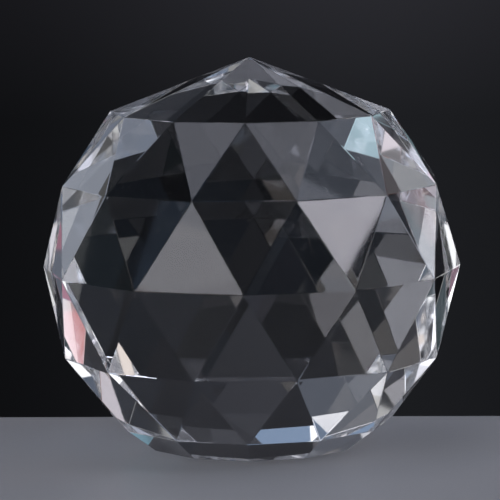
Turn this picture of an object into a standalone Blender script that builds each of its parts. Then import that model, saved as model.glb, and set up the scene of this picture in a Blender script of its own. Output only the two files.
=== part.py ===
"""A faceted ball of clear crystal glass, cut from one piece, with a flat base that it stands on.

The corners where facets meet all lie on one sphere, in level rows. Every second row is turned by half a facet,
so the facets between two rows are triangles. A single point closes the top.
"""

import math

import bmesh
import bpy
from mathutils import Matrix

BALL_DIAMETER = 0.050  # across the sphere that the corners lie on
BASE_DIAMETER = 0.0261  # across the corners of the flat base
FACETS_ROUND = 12  # facets in one trip round the ball
ROW_ANGLES = (24.3, 48.2)  # degrees from the widest row to each further row, both up and down
SAME_PLANE = math.radians(0.1)  # faces that meet at less than this are one facet

GLASS_COLOUR = (0.98, 0.985, 0.99, 1.0)
GLASS_ROUGHNESS = 0.02
GLASS_IOR = 1.517

RADIUS = BALL_DIAMETER / 2
BASE_DROP = math.sqrt(RADIUS**2 - (BASE_DIAMETER / 2) ** 2)  # from the sphere's centre down to the base


def clear_scene():
    for thing in list(bpy.data.objects):
        bpy.data.objects.remove(thing, do_unlink=True)


def crystal_glass():
    material = bpy.data.materials.new("clear crystal glass")
    material.use_nodes = True
    shader = material.node_tree.nodes["Principled BSDF"]
    shader.inputs["Base Color"].default_value = GLASS_COLOUR
    shader.inputs["Roughness"].default_value = GLASS_ROUGHNESS
    shader.inputs["Metallic"].default_value = 0.0
    shader.inputs["IOR"].default_value = GLASS_IOR
    shader.inputs["Transmission Weight"].default_value = 1.0
    return material


def rows_of_corners():
    """The height of each row over the sphere's centre, and the angle that it is turned by."""
    half_facet = math.pi / FACETS_ROUND
    rows = [(0.0, 0.0)]
    for number, angle in enumerate(ROW_ANGLES, start=1):
        height = RADIUS * math.sin(math.radians(angle))
        rows += [(height, number * half_facet), (-height, number * half_facet)]
    above_base = [row for row in rows if row[0] > -BASE_DROP]
    return above_base + [(-BASE_DROP, len(ROW_ANGLES) * half_facet)]


def facet_mesh():
    """The solid between the corners, about the sphere's centre."""
    shape = bmesh.new()
    shape.verts.new((0, 0, RADIUS))
    for height, turn in rows_of_corners():
        bmesh.ops.create_circle(
            shape,
            segments=FACETS_ROUND,
            radius=math.sqrt(RADIUS**2 - height**2),
            matrix=Matrix.Translation((0, 0, height)) @ Matrix.Rotation(turn, 4, "Z"),
        )
    bmesh.ops.convex_hull(shape, input=shape.verts[:] + shape.edges[:])
    bmesh.ops.dissolve_limit(shape, angle_limit=SAME_PLANE, verts=shape.verts, edges=shape.edges)
    bmesh.ops.recalc_face_normals(shape, faces=shape.faces)
    mesh = bpy.data.meshes.new("crystal_ball")
    shape.to_mesh(mesh)
    shape.free()
    mesh.shade_flat()
    return mesh


def crystal_ball(collection):
    ball = bpy.data.objects.new("crystal_ball", facet_mesh())
    ball.location.z = BASE_DROP
    ball.data.materials.append(crystal_glass())
    collection.objects.link(ball)


def main():
    clear_scene()
    collection = bpy.data.collections.new("crystal suncatcher")
    bpy.context.scene.collection.children.link(collection)
    crystal_ball(collection)


main()
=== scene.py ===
import math

import bmesh
import bpy
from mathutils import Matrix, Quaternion, Vector


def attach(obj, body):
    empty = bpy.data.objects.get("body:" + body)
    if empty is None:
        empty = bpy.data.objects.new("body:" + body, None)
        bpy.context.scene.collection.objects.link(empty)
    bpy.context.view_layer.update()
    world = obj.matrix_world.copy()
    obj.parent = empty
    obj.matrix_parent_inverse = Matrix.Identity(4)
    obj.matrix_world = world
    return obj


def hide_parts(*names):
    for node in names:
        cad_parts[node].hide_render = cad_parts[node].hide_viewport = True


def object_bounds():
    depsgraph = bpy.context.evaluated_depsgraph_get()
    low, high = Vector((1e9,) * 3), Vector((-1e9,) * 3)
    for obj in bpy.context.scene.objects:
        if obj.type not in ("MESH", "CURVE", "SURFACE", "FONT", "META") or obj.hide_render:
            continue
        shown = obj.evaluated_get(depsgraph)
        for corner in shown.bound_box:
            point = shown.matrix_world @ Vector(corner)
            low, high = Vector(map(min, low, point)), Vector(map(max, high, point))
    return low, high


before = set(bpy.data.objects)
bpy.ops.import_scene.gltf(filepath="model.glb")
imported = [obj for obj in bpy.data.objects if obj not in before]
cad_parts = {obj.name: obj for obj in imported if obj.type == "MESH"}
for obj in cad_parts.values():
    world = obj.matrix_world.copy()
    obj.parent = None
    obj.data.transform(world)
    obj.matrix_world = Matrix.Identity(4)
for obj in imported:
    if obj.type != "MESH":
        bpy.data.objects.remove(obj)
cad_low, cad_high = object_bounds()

scene = bpy.context.scene


# Camera: a long macro lens a third of a metre away, a little above the ball's middle. The facets' corners in
# the photograph give its place, its lens and its small roll. Its picture is plain, with no film curve.

BALL_DIAMETER = cad_high.x - cad_low.x
RADIUS = BALL_DIAMETER / 2
CENTRE = Vector((0, 0, cad_high.z - RADIUS))  # of the sphere that all the corners lie on

CAMERA_DISTANCE = 0.3762  # metres from the ball's centre
CAMERA_AZIMUTH = math.radians(2.03)  # round to the right of the front corner
CAMERA_ELEVATION = math.radians(7.86)
CAMERA_AIM_UP = math.radians(0.279)  # the lens points a little over the ball's centre
CAMERA_AIM_RIGHT = math.radians(-0.023)
CAMERA_ROLL = math.radians(0.528)
LENS = 226.0  # millimetres on a 36 mm sensor
NEAREST = 0.01  # metres before the lens that it starts to see


def direction(azimuth, elevation):
    """From the ball's centre: azimuth 0 is towards -Y, and 90 degrees towards +X."""
    return Vector(
        (
            math.sin(azimuth) * math.cos(elevation),
            -math.cos(azimuth) * math.cos(elevation),
            math.sin(elevation),
        )
    )


camera_data = bpy.data.cameras.new("macro camera")
camera_data.lens = LENS
camera_data.clip_start = NEAREST
camera = bpy.data.objects.new("macro camera", camera_data)
towards_camera = direction(CAMERA_AZIMUTH, CAMERA_ELEVATION)
camera.location = CENTRE + CAMERA_DISTANCE * towards_camera
camera.rotation_mode = "QUATERNION"
camera.rotation_quaternion = (
    (-towards_camera).to_track_quat("-Z", "Y")
    @ Quaternion((1, 0, 0), CAMERA_AIM_UP)
    @ Quaternion((0, 1, 0), -CAMERA_AIM_RIGHT)
    @ Quaternion((0, 0, 1), -CAMERA_ROLL)
)
scene.collection.objects.link(camera)
scene.camera = camera
scene.view_settings.view_transform = "Standard"  # the lamps are set in plain display light


# Crystal ball: one piece of optical glass, pressed, then ground flat facet by facet and polished on felt.
# The polishing rounds every arris very slightly, which shows as a hair line of light, and leaves a trace of
# waves and haze on the flats.

SAME_CORNER = 1e-6  # metres: corners of the CAD mesh that are closer than this are one
ONE_PLANE = math.radians(0.1)  # faces that meet at less than this are one facet
ARRIS_ROUNDING = 0.00008  # metres taken off along each edge
ARRIS_STEPS = 2  # flats across the rounding
POLISH_WAVE = 0.007  # metres from crest to crest
POLISH_WAVE_HEIGHT = 3e-7  # metres from trough to crest
FELT_HAZE = 0.0009  # metres across the patches that the polishing felt leaves a little less clear
HAZE_STARTS = 0.58  # the noise, from 0 to 1, at which a patch begins
HAZE_FULL = 0.8
DUST_GAP = 0.0032  # metres between specks
DUST_SIZE = 0.00005  # metres from a speck's middle to its rim
DUST_CORE = 0.4  # the share of that which is fully dull
GLASS_COLOUR = "#FFFFFF"
GLASS_IOR = 1.517
CLEAR_ROUGHNESS = 0.025
HAZE_ROUGHNESS = 0.045
DUST_ROUGHNESS = 0.35
LIGHT_BOUNCES = 32  # light goes round inside the cut ball many times before it leaves


def linear(hex_colour):
    """An sRGB hex colour as the linear values that shaders take."""
    parts = [int(hex_colour[k : k + 2], 16) / 255 for k in (1, 3, 5)]
    return tuple(p / 12.92 if p <= 0.04045 else ((p + 0.055) / 1.055) ** 2.4 for p in parts) + (1.0,)


def add_node(tree, kind, settings=None, **links):
    """Adds a node, sets its properties, and gives its inputs by name a value or another node's socket."""
    node = tree.nodes.new(kind)
    for name, value in (settings or {}).items():
        setattr(node, name, value)
    for name, value in links.items():
        socket = node.inputs[name.replace("_", " ")]
        if isinstance(value, bpy.types.NodeSocket):
            tree.links.new(value, socket)
        else:
            socket.default_value = value
    return node


def optical_glass():
    """Optical crown glass, ground and polished on felt. It is water-clear, so each facet shows the lamps and
    the room whole and crisp. The waves that polishing leaves bend them by a hair, its trace of haze softens
    only what has gone round inside many times, and a speck of dust dulls a dot."""
    material = bpy.data.materials.new("polished optical crown glass")
    material.use_nodes = True
    tree = material.node_tree
    shader = tree.nodes["Principled BSDF"]
    shader.inputs["Base Color"].default_value = linear(GLASS_COLOUR)
    shader.inputs["Transmission Weight"].default_value = 1.0
    shader.inputs["IOR"].default_value = GLASS_IOR
    place = add_node(tree, "ShaderNodeTexCoord").outputs["Object"]
    haze = add_node(tree, "ShaderNodeTexNoise", Vector=place, Scale=1 / FELT_HAZE, Detail=2.0)
    haze_roughness = add_node(
        tree,
        "ShaderNodeMapRange",
        Value=haze.outputs["Fac"],
        From_Min=HAZE_STARTS,
        From_Max=HAZE_FULL,
        To_Min=CLEAR_ROUGHNESS,
        To_Max=HAZE_ROUGHNESS,
    )
    dust = add_node(tree, "ShaderNodeTexVoronoi", Vector=place, Scale=1 / DUST_GAP)
    dust_roughness = add_node(
        tree,
        "ShaderNodeMapRange",
        {"interpolation_type": "SMOOTHSTEP"},
        Value=dust.outputs["Distance"],
        From_Min=DUST_CORE * DUST_SIZE / DUST_GAP,
        From_Max=DUST_SIZE / DUST_GAP,
        To_Min=DUST_ROUGHNESS,
        To_Max=0.0,
    )
    roughness = add_node(tree, "ShaderNodeMath", {"operation": "MAXIMUM"})
    tree.links.new(haze_roughness.outputs["Result"], roughness.inputs[0])
    tree.links.new(dust_roughness.outputs["Result"], roughness.inputs[1])
    tree.links.new(roughness.outputs["Value"], shader.inputs["Roughness"])
    waves = add_node(tree, "ShaderNodeTexNoise", Vector=place, Scale=1 / POLISH_WAVE, Detail=1.0)
    relief = add_node(tree, "ShaderNodeBump", Height=waves.outputs["Fac"], Distance=POLISH_WAVE_HEIGHT)
    tree.links.new(relief.outputs["Normal"], shader.inputs["Normal"])
    return material


def ball_with_soft_arrises(cad_ball):
    """The CAD's own facets, whole again, with every arris rounded."""
    shape = bmesh.new()
    shape.from_mesh(cad_ball.data)
    bmesh.ops.remove_doubles(shape, verts=shape.verts, dist=SAME_CORNER)
    bmesh.ops.dissolve_limit(shape, angle_limit=ONE_PLANE, verts=shape.verts, edges=shape.edges)
    bmesh.ops.bevel(
        shape,
        geom=shape.edges[:],
        offset=ARRIS_ROUNDING,
        offset_type="OFFSET",
        segments=ARRIS_STEPS,
        profile=0.5,
        affect="EDGES",
    )
    mesh = bpy.data.meshes.new("crystal_ball_cut")
    shape.to_mesh(mesh)
    shape.free()
    mesh.shade_flat()
    return mesh


ball = bpy.data.objects.new("crystal_ball_cut", ball_with_soft_arrises(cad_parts["crystal_ball"]))
ball.data.materials.clear()
ball.data.materials.append(optical_glass())
scene.collection.objects.link(ball)
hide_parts("crystal_ball")
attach(ball, "root")

scene.cycles.max_bounces = LIGHT_BOUNCES
scene.cycles.glossy_bounces = LIGHT_BOUNCES
scene.cycles.transmission_bounces = LIGHT_BOUNCES


# Table: a plain pale board, faced with laminate and eased along its edges. The ball stands near its back
# edge, so that what shows through most of the glass is the dark room and not the board.

TABLE_WIDTH = 0.5
TABLE_FRONT = 0.5  # metres from the ball's axis towards the camera
TABLE_BACK = 0.0165  # metres from the ball's axis to the far edge
TABLE_THICKNESS = 0.012
TABLE_GAP = 0.00002  # keeps the board's face and the ball's base apart
TABLE_EDGE = 0.001
TABLE_EDGE_STEPS = 3
TABLE_COLOUR = "#B9B8B8"
TABLE_COLOUR_SHADE = "#AEADAE"
TABLE_SHADE_SIZE = 0.03  # metres across the clouds of slightly darker tone
TABLE_GRAIN = 0.0004  # metres across a pebble of the laminate's grain
TABLE_GRAIN_DEPTH = 0.000006
TABLE_SMOOTHEST = 0.38
TABLE_ROUGHEST = 0.55


def satin_laminate():
    """Satin melamine laminate, pressed on the board. It is pale and even, and its fine pebble grain breaks
    up its broad soft sheen."""
    material = bpy.data.materials.new("pale satin laminate")
    material.use_nodes = True
    tree = material.node_tree
    shader = tree.nodes["Principled BSDF"]
    place = add_node(tree, "ShaderNodeTexCoord").outputs["Object"]
    clouds = add_node(tree, "ShaderNodeTexNoise", Vector=place, Scale=1 / TABLE_SHADE_SIZE, Detail=3.0)
    tones = add_node(tree, "ShaderNodeMix", {"data_type": "RGBA"})
    tree.links.new(clouds.outputs["Fac"], tones.inputs["Factor"])
    tones.inputs[6].default_value = linear(TABLE_COLOUR)  # inputs 6 and 7 and output 2 are the colours
    tones.inputs[7].default_value = linear(TABLE_COLOUR_SHADE)
    tree.links.new(tones.outputs[2], shader.inputs["Base Color"])
    grain = add_node(tree, "ShaderNodeTexNoise", Vector=place, Scale=1 / TABLE_GRAIN, Detail=2.0)
    sheen = add_node(
        tree,
        "ShaderNodeMapRange",
        Value=grain.outputs["Fac"],
        To_Min=TABLE_SMOOTHEST,
        To_Max=TABLE_ROUGHEST,
    )
    tree.links.new(sheen.outputs["Result"], shader.inputs["Roughness"])
    pebble = add_node(tree, "ShaderNodeBump", Height=grain.outputs["Fac"], Distance=TABLE_GRAIN_DEPTH)
    tree.links.new(pebble.outputs["Normal"], shader.inputs["Normal"])
    return material


def table():
    """The board, with its top face just under the ball's base."""
    shape = bmesh.new()
    bmesh.ops.create_cube(shape, size=1.0)
    bmesh.ops.scale(shape, vec=(TABLE_WIDTH, TABLE_FRONT + TABLE_BACK, TABLE_THICKNESS), verts=shape.verts)
    lift = Vector((0, (TABLE_BACK - TABLE_FRONT) / 2, -TABLE_THICKNESS / 2 - TABLE_GAP))
    bmesh.ops.translate(shape, vec=lift, verts=shape.verts)
    bmesh.ops.bevel(
        shape,
        geom=shape.edges[:],
        offset=TABLE_EDGE,
        segments=TABLE_EDGE_STEPS,
        profile=0.5,
        affect="EDGES",
    )
    mesh = bpy.data.meshes.new("table")
    shape.to_mesh(mesh)
    shape.free()
    mesh.materials.append(satin_laminate())
    return bpy.data.objects.new("table", mesh)


table_top = table()
scene.collection.objects.link(table_top)


# Lamps: soft cloth-faced panels, some with a tinted gel, in front at each side and all round behind, out of
# the camera's sight. A fitting program found their places, sizes, strengths and tints from the photograph's
# tones. The values were then rounded, the lamps named, and a few strengths adjusted.

LAMP_DISTANCE = 0.9  # metres from the ball's centre
NO_GEL = "#FFFFFF"
WARM_GEL = "#FFF3EC"
LILAC_GEL = "#F6F3FF"
PALE_BLUE_GEL = "#EAEDFF"
BLUE_GEL = "#DAE6FF"
SKY_GEL = "#B4D4FF"
AQUA_GEL = "#CAF2FF"
TURQUOISE_GEL = "#A6E6FF"
PEACH_GEL = "#FFB9A8"
ROSE_GEL = "#FF5A78"


def softbox(name, azimuth, elevation, half_width, half_height, roll, radiance, gel):
    """One panel that faces the ball. Its place, half sizes and roll are degrees as seen from the ball, and
    its radiance is its own brightness."""
    panel = bpy.data.lights.new(name, "AREA")
    panel.shape = "RECTANGLE"
    panel.size = 2 * LAMP_DISTANCE * math.tan(math.radians(half_width))
    panel.size_y = 2 * LAMP_DISTANCE * math.tan(math.radians(half_height))
    panel.energy = radiance * math.pi * panel.size * panel.size_y
    panel.color = linear(gel)[:3]
    lamp = bpy.data.objects.new(name, panel)
    away = direction(math.radians(azimuth), math.radians(elevation))
    lamp.location = CENTRE + LAMP_DISTANCE * away
    lamp.rotation_mode = "QUATERNION"
    lamp.rotation_quaternion = (-away).to_track_quat("-Z", "Y") @ Quaternion((0, 0, 1), math.radians(roll))
    lamp.visible_camera = False
    scene.collection.objects.link(lamp)


softbox("left softbox", -40, 34, 20.5, 31, -15, 0.42, SKY_GEL)
softbox("left softbox cloth", -31, 23, 16, 22, 0, 0.75, WARM_GEL)
softbox("left softbox core", -26, 17, 16, 9, 15, 0.54, NO_GEL)
softbox("left lamp head", -27, 12, 7, 8, -20, 1.65, PALE_BLUE_GEL)
softbox("left high strip", -22, 47, 5, 10, 10, 0.7, NO_GEL)
softbox("left side fill", -55, 3, 24, 9, -10, 0.88, WARM_GEL)
softbox("right softbox", 52, 9, 19, 13, -25, 1.38, NO_GEL)
softbox("right softbox cloth", 43, 21, 27.5, 29, -15, 0.12, SKY_GEL)
softbox("right lamp tube", 58, 23, 2, 4, 45, 7.7, LILAC_GEL)
softbox("right high strip", 70, 45, 4, 27, 25, 1.6, PALE_BLUE_GEL)
softbox("right side fill", 98, 32, 19, 28, 0, 1.05, BLUE_GEL)
softbox("right side strip", 104, 2, 3, 5, 5, 5.1, WARM_GEL)
softbox("top left strip", -74, 71, 3, 29.5, 45, 1.6, LILAC_GEL)
softbox("top softbox", 40, 74, 17, 31.5, 0, 0.38, PALE_BLUE_GEL)
softbox("back left fill", -153, 36, 10.5, 26.5, -15, 0.1, BLUE_GEL)
softbox("back left rim", -126, 15, 8, 16, 10, 0.52, NO_GEL)
softbox("low back left rim", -123, -39, 13.5, 34.5, 10, 0.1, PALE_BLUE_GEL)
softbox("low back left strip", -123, -41, 10.5, 6.5, 15, 0.78, AQUA_GEL)
softbox("left rim strip", -102, -21, 7, 36, -5, 0.46, NO_GEL)
softbox("left wide fill", -100, 7, 17.5, 40, -20, 0.085, AQUA_GEL)
softbox("low right rim", 113, -74, 19, 40, 5, 0.33, NO_GEL)
softbox("right rim fill", 116, -20, 26.5, 29, 10, 0.26, BLUE_GEL)
softbox("right rim rose", 125, 4, 5, 7.5, -5, 0.31, ROSE_GEL)
softbox("back right peach rim", 129, 24, 9, 15.5, 0, 0.52, PEACH_GEL)
softbox("back right turquoise rim", 132, 27, 5, 22.5, -20, 0.52, TURQUOISE_GEL)
softbox("back right strip", 151, 26, 2.5, 14, 0, 0.3, NO_GEL)
softbox("back right spot", 156, 10, 3, 3, -10, 1.7, PALE_BLUE_GEL)


# Room: a studio with its lights out, near black, behind and below the table. A faint low pool of lamplight
# falls on the backdrop and dies away to both sides, and the ceiling catches a little of it.

ROOM_BELOW = "#141518"
ROOM_LOW = "#1D1E21"
ROOM_POOL = "#2A2A2F"
ROOM_ABOVE = "#36373D"
ROOM_RISE = 0.5  # sine of the angle up or down at which the tones end
ROOM_TONES = (  # from 0 at the lowest of these angles to 1 at the highest
    (0.41, ROOM_LOW),
    (0.455, ROOM_POOL),
    (0.48, ROOM_POOL),
    (0.58, ROOM_LOW),
    (0.7, ROOM_ABOVE),
)
POOL_WIDTH = 0.13  # sine of the angle to the side at which the pool has died away
POOL_SIDES = 0.38  # what is left of it there


def studio_dark():
    """The room's tones from below to above, dimmed to both sides of the pool."""
    world = bpy.data.worlds.new("dark studio")
    world.use_nodes = True
    tree = world.node_tree
    way = add_node(tree, "ShaderNodeTexCoord").outputs["Generated"]
    parts = add_node(tree, "ShaderNodeSeparateXYZ", Vector=way)
    rise = add_node(
        tree,
        "ShaderNodeMapRange",
        Value=parts.outputs["Z"],
        From_Min=-ROOM_RISE,
        From_Max=ROOM_RISE,
    )
    tones = add_node(tree, "ShaderNodeValToRGB", Fac=rise.outputs["Result"])
    ramp = tones.color_ramp
    ramp.elements[0].color = linear(ROOM_BELOW)
    ramp.elements[1].color = linear(ROOM_ABOVE)
    for height, tone in ROOM_TONES:
        ramp.elements.new(height).color = linear(tone)
    across = add_node(tree, "ShaderNodeMath", {"operation": "ABSOLUTE"})
    tree.links.new(parts.outputs["X"], across.inputs[0])
    side = add_node(
        tree,
        "ShaderNodeMapRange",
        {"interpolation_type": "SMOOTHSTEP"},
        Value=across.outputs["Value"],
        From_Max=POOL_WIDTH,
        To_Min=1.0,
        To_Max=POOL_SIDES,
    )
    backdrop = tree.nodes["Background"]
    tree.links.new(tones.outputs["Color"], backdrop.inputs["Color"])
    tree.links.new(side.outputs["Result"], backdrop.inputs["Strength"])
    return world


scene.world = studio_dark()
